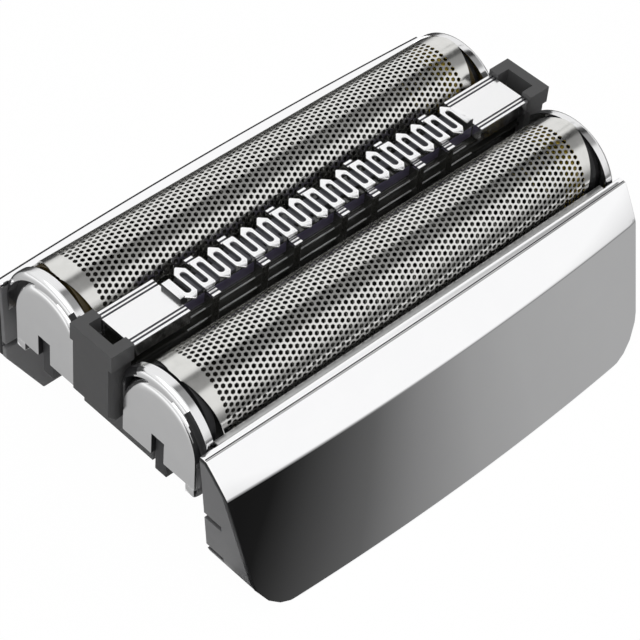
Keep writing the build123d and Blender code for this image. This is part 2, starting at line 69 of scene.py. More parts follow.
# %% Sides and ends that pieces repeat at
both_sides = (("front", -1), ("rear", 1))
both_ends = (("left", -1), ("right", 1))

# %% [markdown]
# Small helpers. A piece is started from a primitive or from a merged copy of its solid, then it gets
# its name, its finish, the body it moves with and the solids it stands for, all in one call.


# %% Helpers for objects
def mm(*values):
    """Millimetres as metres: one number, or a tuple of them."""
    scaled = tuple(value / 1000 for value in values)
    return scaled[0] if len(scaled) == 1 else scaled


def only(piece):
    """Makes one object the selected and active one."""
    bpy.ops.object.select_all(action="DESELECT")
    piece.select_set(True)
    bpy.context.view_layer.objects.active = piece


def edit(piece):
    """Enters edit mode on one object with nothing selected."""
    only(piece)
    bpy.ops.object.mode_set(mode="EDIT")
    bpy.ops.mesh.select_mode(type="FACE")
    bpy.ops.mesh.select_all(action="DESELECT")


def leave():
    bpy.ops.object.mode_set(mode="OBJECT")


def pick_all():
    bpy.ops.mesh.select_all(action="SELECT")


def pick(piece, kind, test):
    """Selects the vertices, edges or faces that a test accepts by their centre and normal.
    The test of an edge gets the edge itself in place of a normal."""
    bpy.ops.mesh.select_all(action="DESELECT")
    bpy.ops.mesh.select_mode(type=kind)
    mesh = bmesh.from_edit_mesh(piece.data)
    for part in {"VERT": mesh.verts, "EDGE": mesh.edges, "FACE": mesh.faces}[kind]:
        if kind == "VERT":
            place, facing = part.co, part.normal
        elif kind == "EDGE":
            place, facing = (part.verts[0].co + part.verts[1].co) / 2, part
        else:
            place, facing = part.calc_center_median(), part.normal
        part.select_set(bool(test(place, facing)))
    mesh.select_flush_mode()
    bmesh.update_edit_mesh(piece.data)


def on_all(piece, operator, **settings):
    """Runs one mesh operator on the whole of a piece."""
    edit(piece)
    pick_all()
    operator(**settings)
    leave()


def applied(piece, kind, **settings):
    """Adds a modifier with its settings and applies it."""
    only(piece)
    modifier = piece.modifiers.new(kind.lower(), kind)
    for name, value in settings.items():
        setattr(modifier, name, value)
    bpy.ops.object.modifier_apply(modifier=modifier.name)


def rounded(piece, width, angle=35, segments=2, **settings):
    """Rounds the edges that are sharper than an angle in degrees."""
    applied(piece, "BEVEL", width=mm(width), segments=segments, limit_method="ANGLE",
            angle_limit=radians(angle), **settings)


def thickened(piece, wall):
    applied(piece, "SOLIDIFY", thickness=mm(wall), offset=-1)


def repeated(piece, count, step):
    """Copies a piece along a step given in millimetres."""
    applied(piece, "ARRAY", count=count, use_relative_offset=False, use_constant_offset=True,
            constant_offset_displace=mm(*step))


def place_applied(piece):
    only(piece)
    bpy.ops.object.transform_apply(location=True, rotation=True, scale=True)


def finish_piece(piece, name, body, finish, nodes=(), smooth=35):
    """Names a piece, smooths it, gives it its finish and ties it to its body and its solids."""
    place_applied(piece)
    bpy.ops.object.shade_smooth_by_angle(angle=radians(smooth))
    piece.name = name
    piece.data.name = name
    piece.data.materials.clear()
    piece.data.materials.append(finish["material"])
    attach(piece, body)
    if nodes:
        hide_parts(*nodes)
    return piece


def surface_area(piece):
    return sum(face.area for face in piece.data.polygons)


def copied(node, name):
    """A merged copy of a solid's mesh; its flat faces are joined where that closes no opening."""
    piece = bpy.data.objects.new(name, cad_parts[node].data.copy())
    bpy.context.scene.collection.objects.link(piece)
    on_all(piece, bpy.ops.mesh.remove_doubles, threshold=mm(0.002))
    loose, before = piece.data.copy(), surface_area(piece)
    on_all(piece, bpy.ops.mesh.dissolve_limited, angle_limit=radians(0.5))
    if abs(surface_area(piece) / before - 1) > 0.002:
        piece.data = loose
        print(name, "keeps its triangles")
    return piece


def softened(node, body, finish, width, segments=2):
    """A copy of a solid with its sharp edges rounded, as moulding and tumbling leave them."""
    piece = copied(node, node + "_dressed")
    rounded(piece, width, 30, segments, miter_outer="MITER_ARC", harden_normals=False)
    piece = finish_piece(piece, node + "_dressed", body, finish, [node])
    applied(piece, "WEIGHTED_NORMAL", keep_sharp=True)
    return piece


# %% Helpers for shaping
def push(x, y, z):
    """Extrudes the selected faces along a vector given in millimetres."""
    bpy.ops.mesh.extrude_region_move(TRANSFORM_OT_translate={"value": mm(x, y, z)})


def push_edges(x, y, z):
    bpy.ops.mesh.extrude_edges_move(TRANSFORM_OT_translate={"value": mm(x, y, z)})


def resized(factors, about):
    """Scales what is selected about a point given in millimetres."""
    bpy.ops.transform.resize(value=factors, center_override=mm(*about))


def outward(piece, facing=None):
    """Turns every face outwards; on an open sheet, outwards is the side that a direction gives."""
    on_all(piece, bpy.ops.mesh.remove_doubles, threshold=mm(0.001))
    on_all(piece, bpy.ops.mesh.normals_make_consistent, inside=False)
    if facing:
        agreement = sum(face.area * face.normal.dot(Vector(facing)) for face in piece.data.polygons)
        if agreement < 0:
            on_all(piece, bpy.ops.mesh.flip_normals)


def box(low, high, bevel=0.0):
    """A block between two corners in millimetres, with rounded edges where a bevel is given."""
    sizes = [abs(b - a) for a, b in zip(low, high)]
    bpy.ops.mesh.primitive_cube_add(size=1, location=mm(*[(a + b) / 2 for a, b in zip(low, high)]),
                                    scale=mm(*sizes))
    piece = bpy.context.object
    place_applied(piece)
    if bevel:
        rounded(piece, bevel, 40)
    return piece


def joined(pieces):
    """Joins several objects into the first one."""
    bpy.ops.object.select_all(action="DESELECT")
    for piece in pieces:
        piece.select_set(True)
    bpy.context.view_layer.objects.active = pieces[0]
    if len(pieces) > 1:
        bpy.ops.object.join()
    return bpy.context.object


def cut_out(piece, cutter):
    """Takes one closed shape out of another and removes the cutter."""
    applied(piece, "BOOLEAN", operation="DIFFERENCE", solver="EXACT", object=cutter)
    bpy.data.objects.remove(cutter)


def arch_solid(centre, axis, radius, low, sections, about=None, segments=64):
    """A half round over straight sides, drawn at the first section's X and extruded to the others.
    Sections are (X, scale); about is the height from which the outline is scaled."""
    about = axis if about is None else about
    first_x, first_scale = sections[0]
    bpy.ops.mesh.primitive_circle_add(vertices=segments, radius=mm(radius), fill_type="NOTHING",
                                      location=mm(first_x, centre, axis), rotation=(0, radians(90), 0))
    piece = bpy.context.object
    place_applied(piece)
    edit(piece)
    pick(piece, "VERT", lambda place, facing: place.z < mm(axis) - mm(0.001))
    bpy.ops.mesh.delete(type="VERT")
    pick(piece, "VERT", lambda place, facing: place.z < mm(axis) + mm(0.001))
    bpy.ops.mesh.extrude_vertices_move(TRANSFORM_OT_translate={"value": mm(0, 0, low - axis - 1)})
    pick_all()
    bpy.ops.mesh.edge_face_add()
    pick_all()
    resized((1, first_scale, first_scale), (first_x, centre, about))
    last_x, last_scale = first_x, first_scale
    for x, scale in sections[1:]:
        push(x - last_x, 0, 0)
        resized((1, scale / last_scale, scale / last_scale), (x, centre, about))
        last_x, last_scale = x, scale
    pick_all()
    bpy.ops.mesh.bisect(plane_co=mm(0, 0, low), plane_no=(0, 0, 1), clear_inner=True, use_fill=True)
    leave()
    outward(piece)
    return piece


def sliced(piece, plane_at, outward_normal):
    """Cuts a closed shape flat along a plane given in millimetres."""
    on_all(piece, bpy.ops.mesh.bisect, plane_co=mm(*plane_at), plane_no=outward_normal,
           clear_outer=True, use_fill=True)


# %% [markdown]
# Finishes. Each is a Principled BSDF whose colour, roughness and bump vary a little over the surface.
# The small variations are shared: one node group gives fine scratches or grain, and every material
# places it with its own size and strength. Patterns read Object coordinates, so they stay on a piece.


# %% Helpers for shader nodes
def set_inputs(node, values):
    for name, value in values.items():
        node.inputs[name].default_value = value


def add_node(tree, kind, values=None, **settings):
    """Adds a shader node with its settings and the values of its inputs."""
    node = tree.nodes.new(f"ShaderNode{kind}")
    for name, value in settings.items():
        setattr(node, name, value)
    set_inputs(node, values or {})
    return node


def new_material(name):
    material = bpy.data.materials.new(name)
    material.use_nodes = True
    return material, material.node_tree


# %% The shared surface-variation group
def variation_group():
    """Grain and streaks: outputs a mask for colour and roughness and a height for bump."""
    group = bpy.data.node_groups.new("surface_variation", "ShaderNodeTree")
    for name in ("Scale", "Stretch", "Low", "High"):
        kind = "NodeSocketVector" if name == "Stretch" else "NodeSocketFloat"
        group.interface.new_socket(name=name, in_out="INPUT", socket_type=kind)
    for name in ("Mask", "Height"):
        group.interface.new_socket(name=name, in_out="OUTPUT", socket_type="NodeSocketFloat")
    links = group.links
    enter, leave_group = group.nodes.new("NodeGroupInput"), group.nodes.new("NodeGroupOutput")
    place = add_node(group, "TexCoord")
    stretch = add_node(group, "VectorMath", operation="MULTIPLY")
    noise = add_node(group, "TexNoise", {"Detail": 4})
    spread = add_node(group, "MapRange", {"From Min": 0.3, "From Max": 0.7})
    links.new(place.outputs["Object"], stretch.inputs[0])
    links.new(enter.outputs["Stretch"], stretch.inputs[1])
    links.new(stretch.outputs[0], noise.inputs["Vector"])
    links.new(enter.outputs["Scale"], noise.inputs["Scale"])
    links.new(noise.outputs["Fac"], spread.inputs["Value"])
    links.new(enter.outputs["Low"], spread.inputs["To Min"])
    links.new(enter.outputs["High"], spread.inputs["To Max"])
    links.new(spread.outputs["Result"], leave_group.inputs["Mask"])
    links.new(noise.outputs["Fac"], leave_group.inputs["Height"])
    return group


variation = variation_group()


# %% A finish: a material and the record's slot that it answers to
def make_finish(name, slot, dark, light, metallic, rough_low, rough_high, scale, stretch=(1, 1, 1),
                bump=0.0, coat=0.0, specular=0.5):
    """A material whose colour runs between two tones and whose roughness runs between two values."""
    material, tree = new_material(name)
    links, surface = tree.links, tree.nodes["Principled BSDF"]
    set_inputs(surface, {"Metallic": metallic, "Coat Weight": coat, "Coat Roughness": 0.08,
                         "Specular IOR Level": specular})
    grain = add_node(tree, "Group", {"Scale": scale, "Stretch": stretch, "Low": rough_low,
                                     "High": rough_high}, node_tree=variation)
    links.new(grain.outputs["Mask"], surface.inputs["Roughness"])
    tone = add_node(tree, "Mix", {"A": (*dark, 1), "B": (*light, 1)}, data_type="RGBA")
    links.new(grain.outputs["Height"], tone.inputs["Factor"])
    links.new(tone.outputs["Result"], surface.inputs["Base Color"])
    if bump:
        relief = add_node(tree, "Bump", {"Strength": bump, "Distance": mm(0.02)})
        links.new(grain.outputs["Height"], relief.inputs["Height"])
        links.new(relief.outputs["Normal"], surface.inputs["Normal"])
    return {"material": material, "slot": slot}


chrome = make_finish("bright_chrome", "chrome_cover", (0.93, 0.93, 0.94), (0.96, 0.96, 0.965), 1.0,
                     0.035, 0.060, 300)
foil_steel = make_finish("foil_steel", "foil_steel", (0.64, 0.637, 0.615), (0.78, 0.776, 0.755), 1.0,
                         0.14, 0.22, 900)
cap_metal = make_finish("satin_cap_metal", "cap_metal", (0.78, 0.78, 0.785), (0.84, 0.84, 0.845), 1.0,
                        0.13, 0.18, 500)
liner = make_finish("grey_moulding", "liner_plastic", (0.135, 0.135, 0.138),
                    (0.155, 0.155, 0.158), 0.0, 0.45, 0.55, 700, bump=0.15, specular=0.3)
brushed_ledge = make_finish("brushed_ledge", "liner_plastic", (0.44, 0.44, 0.44),
                            (0.68, 0.68, 0.68), 0.9, 0.30, 0.42, 500, (1, 3, 1))
# Dark plastic; the same finish is also put on faces as painted shade, in gaps and on edges turned from
# the light.
dark_moulding_and_shade = make_finish("dark_moulding_and_shade", "dark_plastic", (0.010, 0.010, 0.011),
                            (0.016, 0.016, 0.017), 0.0, 0.40, 0.50, 700, bump=0.15, specular=0.25)
bracket_moulding = make_finish("bracket_moulding", "bracket_plastic", (0.062, 0.062, 0.063),
                               (0.073, 0.073, 0.074), 0.0, 0.40, 0.50, 700, bump=0.15, specular=0.25)
brown_moulding = make_finish("brown_moulding", "brown_plastic", (0.018, 0.012, 0.002),
                             (0.045, 0.030, 0.004), 0.0, 0.25, 0.35, 400, specular=0.3)
blade_steel = make_finish("blade_steel", "blade_steel", (0.10, 0.10, 0.09), (0.20, 0.20, 0.18), 1.0,
                          0.28, 0.40, 900, (1, 4, 1))
amber_moulding = make_finish("amber_moulding", "amber_plastic", (0.22, 0.155, 0.012),
                             (0.40, 0.29, 0.03), 0.0, 0.20, 0.30, 400, specular=0.3)


def fading(finish, far_tone, first, last):
    """Lets a finish keep its colour only beyond a place along X, and be another tone before it."""
    tree = finish["material"].node_tree
    links, colour = tree.links, tree.nodes["Principled BSDF"].inputs["Base Color"]
    place, parts = add_node(tree, "TexCoord"), add_node(tree, "SeparateXYZ")
    share = add_node(tree, "MapRange", {"From Min": mm(first), "From Max": mm(last)})
    mixed = add_node(tree, "Mix", {"A": (*far_tone, 1)}, data_type="RGBA")
    links.new(place.outputs["Object"], parts.inputs[0])
    links.new(parts.outputs["X"], share.inputs["Value"])
    links.new(share.outputs["Result"], mixed.inputs["Factor"])
    links.new(colour.links[0].from_socket, mixed.inputs["B"])
    links.new(mixed.outputs["Result"], colour)


fading(amber_moulding, (0.016, 0.015, 0.012), 20.4, 20.9)
coupling_moulding = make_finish("coupling_moulding", "coupling_plastic", (0.022, 0.022, 0.024),
                                (0.032, 0.032, 0.034), 0.0, 0.40, 0.50, 700, specular=0.3)
trimmer_steel = make_finish("trimmer_steel", "trimmer_steel", (0.90, 0.90, 0.905),
                            (0.94, 0.94, 0.945), 1.0, 0.16, 0.24, 900, (1, 6, 1))
support_moulding = make_finish("support_moulding", "support_plastic", (0.016, 0.016, 0.014),
                               (0.026, 0.026, 0.023), 0.0, 0.16, 0.24, 500, coat=0.5)
violet_moulding = make_finish("violet_moulding", "support_plastic", (0.036, 0.031, 0.056),
                              (0.075, 0.067, 0.105), 0.0, 0.30, 0.42, 900, (1, 1, 9), bump=0.3)
# Painted highlight: light strips that stand in for the light caught along the support's ledges.
ledge_highlight = make_finish("painted_ledge_highlight", "support_plastic", (0.34, 0.34, 0.345),
                         (0.60, 0.60, 0.605), 0.4, 0.25, 0.40, 300, (3, 1, 1))
# Dark comb steel; the same finish is also put on the guard's groove floors as painted shade.
comb_blade_and_groove_shade = make_finish("comb_blade_steel_and_groove_shade", "blade_steel", (0.050, 0.050, 0.060),
                         (0.085, 0.085, 0.095), 0.6, 0.35, 0.45, 900, (6, 1, 1))
spring_steel = make_finish("spring_steel", "spring_steel", (0.50, 0.50, 0.52), (0.62, 0.62, 0.64),
                           1.0, 0.20, 0.30, 900)
print("finishes:", [material.name for material in bpy.data.materials])


# %% A second finish on some faces of a piece
def painted(piece, finish, chosen):
    """Gives the faces that a test picks by their place and normal a second finish."""
    materials, material = piece.data.materials, finish["material"]
    if material.name not in materials:
        materials.append(material)
    index = materials.find(material.name)
    for face in piece.data.polygons:
        if chosen(face.center, face.normal):
            face.material_index = index


# %% [markdown]
# The long walls. Each bright cover is a thin bent sheet. It could be cut from its solid, but the
# way it catches the light depends on very slight curves, so it is drawn as rows instead: one row of
# points is bowed with proportional editing, then extruded and resized from level to level down the
# wall. A steadily turning profile gives the soft line along the crease. Bisect planes round the
# corners.

# %% The outline of a wall sheet, row by row
top_land = 0.8
wall_columns = 48


def bowed_row(half_length, y, z, bow, side):
    """A row of points along X whose middle stands out by the bow."""
    bpy.ops.mesh.primitive_plane_add(size=mm(2 * half_length), location=mm(0, y, z))
    row = bpy.context.object
    place_applied(row)
    edit(row)
    pick(row, "VERT", lambda place, facing: side * (place.y - mm(y)) > 0)
    bpy.ops.mesh.delete(type="VERT")
    pick_all()
    resized((1, 0, 1), (0, y, z))
    bpy.ops.mesh.subdivide(number_cuts=wall_columns - 1)
    pick(row, "VERT", lambda place, facing: abs(place.x) < mm(half_length / wall_columns))
    bpy.ops.transform.translate(value=mm(0, side * bow, 0), use_proportional_edit=True,
                                proportional_edit_falloff="INVERSE_SQUARE",
                                proportional_size=mm(half_length))
    return row


def wall_sheet(levels, side, inner):
    """A thin wall through levels of (half length, Y, Z, bow), with a flat land along its top."""
    row = bowed_row(*levels[0], side)
    for (half, y, z, bow), (next_half, next_y, next_z, next_bow) in zip(levels, levels[1:]):
        pick(row, "EDGE", lambda place, edge: abs(place.z - mm(z)) < mm(0.001))
        push_edges(0, next_y - y, next_z - z)
        resized((next_half / half, 1, 1), (0, next_y, next_z))
        resized((1, next_bow / bow, 1), (0, next_y, next_z))
    top = levels[0][2]
    pick(row, "EDGE", lambda place, edge: abs(place.z - mm(top)) < mm(0.001))
    push_edges(0, 0, 0)
    resized((1, 0, 1), (0, inner, top))
    leave()
    return row


def trimmed(piece, cuts):
    """Cuts a wall along planes given by a point and an outward direction in X and Z."""
    for x, z, out_x, out_z in cuts:
        on_all(piece, bpy.ops.mesh.bisect, plane_co=mm(x, 0, z), plane_no=(out_x, 0, out_z),
               clear_outer=True)


# %% Profile of the front cover, with its rounded crease
wall_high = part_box("front_cover")[1]
lip_half = 1000 * wall_high.x
lip_height = 1000 * wall_high.z
inner_face = -1000 * wall_high.y
crease_height = lip_height - 3.3
crease_half = lip_half - 0.4
lip_out, crease_out, foot_out = inner_face + top_land, inner_face + 3.15, inner_face + 7.25
lip_bow, crease_bow, foot_bow = 0.25, 0.9, 1.0
crease_round = 0.20
band_length = hypot(crease_out - lip_out, lip_height - crease_height)
face_length = hypot(foot_out - crease_out, crease_height)
band_rows, turn_rows = 7, 5
band_crown = 0.045
crown_out, crown_up = 0.81, 0.58
cover_wall = 0.5
side_fall = 1.8
foot_half = lip_half - side_fall
corner_radius = 5.0
corner_steps = 10


def along(start, end, share):
    """The values at a share of the way from one tuple to another."""
    return tuple(a + (b - a) * share for a, b in zip(start, end))


def front_levels():
    """Half length, Y, Z and bow at each level of the front cover, from its lip to its foot."""
    lip = (lip_half, -lip_out, lip_height, lip_bow)
    crease = (crease_half, -crease_out, crease_height, crease_bow)
    foot = (foot_half, -foot_out, 0.0, foot_bow)
    band = []
    for number in range(band_rows):
        share = number / band_rows
        half, y, z, bow = along(lip, crease, share)
        swell = 4 * band_crown * share * (1 - share)
        band.append((half, y - crown_out * swell, z + crown_up * swell, bow))
    turn = []
    before = along(crease, lip, crease_round / band_length)
    after = along(crease, foot, crease_round / face_length)
    for number in range(turn_rows):
        share = number / (turn_rows - 1)
        turn.append(along(along(before, crease, share), along(crease, after, share), share))
    return band + turn + [along(crease, foot, share) for share in (0.25, 0.5, 0.75)] + [foot]


# %% Rounded lower corners and the cover itself
side_angle = pi / 2 - atan(side_fall / lip_height)
corner_rise = corner_radius * (1 - cos(side_angle))
corner_x = foot_half + side_fall * corner_rise / lip_height - corner_radius * sin(side_angle)
corner_cuts = []
for hand in (-1, 1):
    for number in range(corner_steps):
        angle = side_angle * number / (corner_steps - 1)
        corner_cuts.append((hand * (corner_x + corner_radius * sin(angle)),
                            corner_radius * (1 - cos(angle)), hand * sin(angle), -cos(angle)))
cover = wall_sheet(front_levels(), -1, -inner_face)
trimmed(cover, corner_cuts)
outward(cover, (0, -1, 0.3))
thickened(cover, cover_wall)
rounded(cover, 0.12, segments=3)
finish_piece(cover, "front_cover_sheet", "frame", chrome, ["front_cover"], smooth=25)
applied(cover, "WEIGHTED_NORMAL", keep_sharp=True)
# Painted shade: the sheet's left end faces get the dark finish, for the shadow gap between sheet and
# liner.
painted(cover, dark_moulding_and_shade, lambda place, facing: place.x < 0 and facing.x < -0.5)
print("front cover:", len(cover.data.polygons), "faces")

# %% [markdown]
# Two thin trims belong to each long wall. A dark seam follows the lip, where sheet and moulding
# meet: it is one more bowed row with a little width. A bright ledge lies inside the wall, beside
# the foil, and is a plain bar with rounded edges, since hardly more than its top face shows.

# %% Dark seams along the lips of both covers
rear_bow = 0.6
seam_inset, seam_width, seam_stands, seam_wall = 0.13, 0.12, 0.012, 0.05
for name, side, bow in (("front", -1, lip_bow), ("rear", 1, rear_bow)):
    seam = bowed_row(lip_half - seam_width, side * (lip_out - seam_inset),
                     lip_height + seam_stands, bow, side)
    pick_all()
    push_edges(0, -side * seam_width, 0)
    leave()
    outward(seam, (0, 0, 1))
    thickened(seam, seam_wall)
    finish_piece(seam, f"{name}_lip_seam", "frame", dark_moulding_and_shade)

# %% Bright ledges that close the slots between the foils and the long walls
ledge_half, ledge_in, ledge_top, ledge_thickness = 24.8, 12.62, 16.62, 0.3
for name, side in both_sides:
    ledge = box((-ledge_half, side * ledge_in, ledge_top - ledge_thickness),
                (ledge_half, side * (inner_face + 0.1), ledge_top), bevel=0.05)
    finish_piece(ledge, f"{name}_wall_ledge", "frame", brushed_ledge)
print("trims: seams of", len(seam.data.polygons), "faces, ledges of", len(ledge.data.polygons))

# %% Rear cover
rear_out = inner_face + 1.55
rear_half = lip_half - 0.8
chamfer_height, chamfer_length = 7.6, 4.7
rear_lip = (lip_half, lip_out, lip_height, rear_bow)
rear_foot = (rear_half, rear_out, 0.0, rear_bow)
rear_levels = [along(rear_lip, rear_foot, share) for share in (0, 0.1, 0.4, 0.7, 1)]
rear_cover = wall_sheet(rear_levels, 1, inner_face)
chamfer = hypot(chamfer_height, chamfer_length)
trimmed(rear_cover, [(hand * lip_half, chamfer_height, hand * chamfer_height / chamfer,
                      -chamfer_length / chamfer) for hand in (-1, 1)])
outward(rear_cover, (0, 1, 0.1))
thickened(rear_cover, cover_wall)
rounded(rear_cover, 0.14, segments=3)
finish_piece(rear_cover, "rear_cover_sheet", "frame", chrome, ["rear_cover"], smooth=25)
applied(rear_cover, "WEIGHTED_NORMAL", keep_sharp=True)
# Painted shade on the left end faces, as on the front cover; the outer top edge gets the dark finish
# as a line beside the seam.
painted(rear_cover, dark_moulding_and_shade, lambda place, facing: (
    (place.z > mm(lip_height - 0.2) and facing.y > 0.2) or (place.x < 0 and facing.x < -0.5)))
print("rear cover:", len(rear_cover.data.polygons), "faces")

# %% [markdown]
# The moulded pieces are blocks with many small steps. Copies of their solids already have the right
# shape, so only their edges are rounded, each with the radius that its mould would leave.

# %% Mouldings, blade carriers, brackets and springs
for side in ("front", "rear"):
    softened(f"{side}_liner", "frame", liner, 0.10)
    foil_frame = softened(f"{side}_foil_frame", f"{side}_foil_unit",
                          dark_moulding_and_shade if side == "front" else brown_moulding, 0.08)
    painted(foil_frame, coupling_moulding, lambda place, facing: abs(place.x) > mm(24.85))
    softened(f"{side}_blade_carrier", f"{side}_cutter", amber_moulding, 0.08)
    softened(f"{side}_drive_coupling", f"{side}_cutter", coupling_moulding, 0.10)
softened("chassis", "frame", dark_moulding_and_shade, 0.12)
for end in ("left", "right"):
    softened(f"{end}_bracket", "frame", bracket_moulding, 0.12, segments=3)
    for place in ("front", "rear", "trimmer"):
        softened(f"{place}_spring_{end}", "frame", spring_steel, 0.10)
softened("trimmer_support", "trimmer", support_moulding, 0.08)
softened("trimmer_blade", "trimmer_cutter", comb_blade_and_groove_shade, 0.03)
softened("trimmer_drive_post", "trimmer_cutter", coupling_moulding, 0.08)

# %% [markdown]
# The foils. The real sheet is etched with a fine field of hexagonal holes in staggered columns. A
# Boolean for each of thousands of holes would be slow and rough, so one tile, a hexagon with its
# middle taken out, is repeated by two Array modifiers into a flat sheet. The sheet's plain borders
# are extruded from its rim and cut on a slant. A Simple Deform modifier then bends it over half a
# turn, as the real sheet is bent, with straight sides left below. Solidify gives it its wall.

# %% Foil sheet
foil_low, foil_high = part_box("front_foil")
foil_offset = 1000 * (foil_low.y + foil_high.y) / 2
foil_outer = 1000 * (foil_high.y - foil_low.y) / 2
foil_top = 1000 * foil_high.z
foil_skirt = 1000 * (foil_high.z - foil_low.z) - foil_outer
column_pitch = 0.590
arc_pitch = 0.60
hole_web = 0.10
pair_count = 39
row_count = 32
foil_sheet_wall = 0.12
first_column = -(pair_count - 0.5) * column_pitch
foil_end = 25.05
slant_start = 0.6
end_slope = 0.26
long_edge = 0.3


def foil_sheet():
    """One foil as a flat perforated sheet: X is along the bend, Z along the foil."""
    bpy.ops.mesh.primitive_circle_add(vertices=6, radius=mm(arc_pitch / sqrt(3)), fill_type="NGON")
    tile = bpy.context.object
    edit(tile)
    pick_all()
    bpy.ops.mesh.inset(thickness=mm(hole_web), depth=0)
    bpy.ops.mesh.delete(type="FACE")
    leave()
    # The hexagon's corners point along the foil, and it is stretched a little that way.
    tile.rotation_euler = (radians(90), 0, 0)
    tile.scale = (1, column_pitch / (arc_pitch * sqrt(3) / 2), 1)
    place_applied(tile)
    only(tile)
    bpy.ops.object.duplicate()
    second = bpy.context.object
    second.location = mm(arc_pitch / 2, 0, column_pitch)
    place_applied(second)
    tile.select_set(True)
    bpy.context.view_layer.objects.active = tile
    bpy.ops.object.join()
    repeated(tile, pair_count, (0, 0, 2 * column_pitch))
    repeated(tile, row_count, (arc_pitch, 0, 0))
    applied(tile, "WELD", merge_threshold=mm(0.01))
    tile.location = mm(-(row_count - 0.5) / 2 * arc_pitch, 0, first_column)
    place_applied(tile)
    return tile


# %% Borders of the sheet, its slanted ends, its bend and its wall
def border(piece, axis, limit, side, target):
    """Extrudes the long rim edges beyond a limit along X or Z and flattens the new rim at a target.
    The holes' own edges are shorter, so their length tells them from the rim."""
    pick(piece, "EDGE", lambda place, edge: (edge.is_boundary and edge.calc_length() > mm(long_edge)
                                             and side * place[axis] > mm(limit)))
    bpy.ops.mesh.extrude_edges_move()
    level = [0, 0, 0]
    level[axis] = mm(side * target)
    flat = [1, 1, 1]
    flat[axis] = 0
    bpy.ops.transform.resize(value=flat, center_override=level)


def slanted(piece):
    """Cuts both end bands back on a slant, from the crown down to the skirts."""
    for side in (-1, 1):
        for hand in (-1, 1):
            pick(piece, "FACE", lambda place, facing: (side * place.z > mm(-first_column + 0.3)
                                                       and hand * place.x > mm(slant_start)))
            bpy.ops.mesh.bisect(plane_co=mm(hand * slant_start, 0, side * foil_end),
                                plane_no=(hand * end_slope, 0, side), clear_outer=True)


def bent_foil(centre):
    """The flat sheet with its borders, bent over its axis and given its wall."""
    piece = foil_sheet()
    half_round = pi / 2 * foil_outer
    edit(piece)
    for side in (-1, 1):
        border(piece, 2, -first_column + 0.2, side, foil_end)
    for side in (-1, 1):
        border(piece, 0, (row_count - 1.2) / 2 * arc_pitch, side, half_round + foil_skirt)
    slanted(piece)
    leave()
    straight = foil_skirt / (2 * (half_round + foil_skirt))
    applied(piece, "SIMPLE_DEFORM", deform_method="BEND", deform_axis="Z", angle=-pi,
            limits=(straight, 1 - straight))
    piece.rotation_euler = (radians(90), 0, radians(90))
    piece.location = mm(0, centre, foil_top)
    place_applied(piece)
    outward(piece, (0, 0, 1))
    thickened(piece, foil_sheet_wall)
    return piece


foil_centres = (("front", foil_offset), ("rear", -foil_offset))
for side, centre in foil_centres:
    foil = finish_piece(bent_foil(centre), f"{side}_foil_sheet", f"{side}_foil_unit", foil_steel,
                        [f"{side}_foil"], smooth=30)
    print(foil.name, len(foil.data.polygons), "faces")

# %% [markdown]
# The cutter blades. Under each foil stands a row of thin steel arches, hardly seen through the
# holes. The solid's blades are coarse, so one arch is made anew: a ring cut from a cylinder and
# bisected at the carrier. An Array modifier repeats it along the carrier.

# %% Blades
blade_radius = 4.2
blade_rim = 0.9
blade_wall = 0.22
blade_pitch = 1.172
blade_count = 36


def blade_row(centre, seat):
    """A row of arched blades cut off at the carrier's seat."""
    first_blade = -blade_pitch * (blade_count - 1) / 2
    bpy.ops.mesh.primitive_cylinder_add(vertices=56, radius=mm(blade_radius), depth=mm(blade_wall),
                                        end_fill_type="NGON", rotation=(0, radians(90), 0),
                                        location=mm(first_blade, centre, foil_axis))
    row = bpy.context.object
    place_applied(row)
    edit(row)
    pick(row, "FACE", lambda place, facing: abs(facing.x) > 0.9)
    bpy.ops.mesh.inset(thickness=mm(blade_rim), use_individual=True)
    bpy.ops.mesh.delete(type="FACE")
    pick(row, "EDGE", lambda place, edge: edge.is_boundary)
    bpy.ops.mesh.bridge_edge_loops()
    pick_all()
    bpy.ops.mesh.bisect(plane_co=(0, 0, seat), plane_no=(0, 0, 1), clear_inner=True, use_fill=True)
    pick_all()
    bpy.ops.mesh.normals_make_consistent(inside=False)
    leave()
    repeated(row, blade_count, (blade_pitch, 0, 0))
    return row


foil_axis = foil_top - foil_outer
for side, centre in foil_centres:
    row = blade_row(centre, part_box(f"{side}_blades")[0].z)
    finish_piece(row, f"{side}_blade_row", f"{side}_cutter", blade_steel, [f"{side}_blades"])
    print(row.name, len(row.data.polygons), "faces")

# %% [markdown]
# The end caps. A cap is a shallow ring that holds the end of the foil, and in front of it a plate
# with a broad rounded rim, a slot for the foil frame's leg, and a hooked foot. A bevel can't give a
# rim that swells and then runs out, so ring and plate are arches drawn once and pushed out section
# by section, with the rim's rounding as part of the extrusion. A dark neck fills the space between:
# dark plastic, whose darkness also stands in for the shade in those gaps. Faces of the cap that turn
# from the light get painted shade.

# %% Sizes of the caps
cap_offset = 7.55
ring_centre = cap_offset - 0.02
ring_start, ring_end = 25.2, 26.4
ring_axis, ring_arc, ring_low = 14.88, 5.95, 13.55
ring_round, ring_small = 0.55, 0.865
crescent_axis, crescent_arc, crescent_start = 14.5, 5.52, 1.5
crescent_floor, crescent_rim = ring_start + 0.12, 0.22
floor_start, floor_thickness, floor_low = ring_start + 0.10, 0.12, 13.6
core_start, core_axis, core_arc = 24.75, 16.2, 4.05
plate_back, plate_face, plate_low = 25.5, 26.65, 11.35
plate_shapes = {-1: (7.75, 15.16, 4.85), 1: (7.35, 15.75, 4.30)}
plate_scaled_from = -1.0
plate_rim, plate_small = 0.95, 0.95
foot_drop, foot_reach = 0.95, 1.3
slot_middle, slot_half, slot_rise = 7.65, 0.8, 2.6
post_end = 26.12
clear_of_wall = 13.12
clear_of_bracket = 2.87


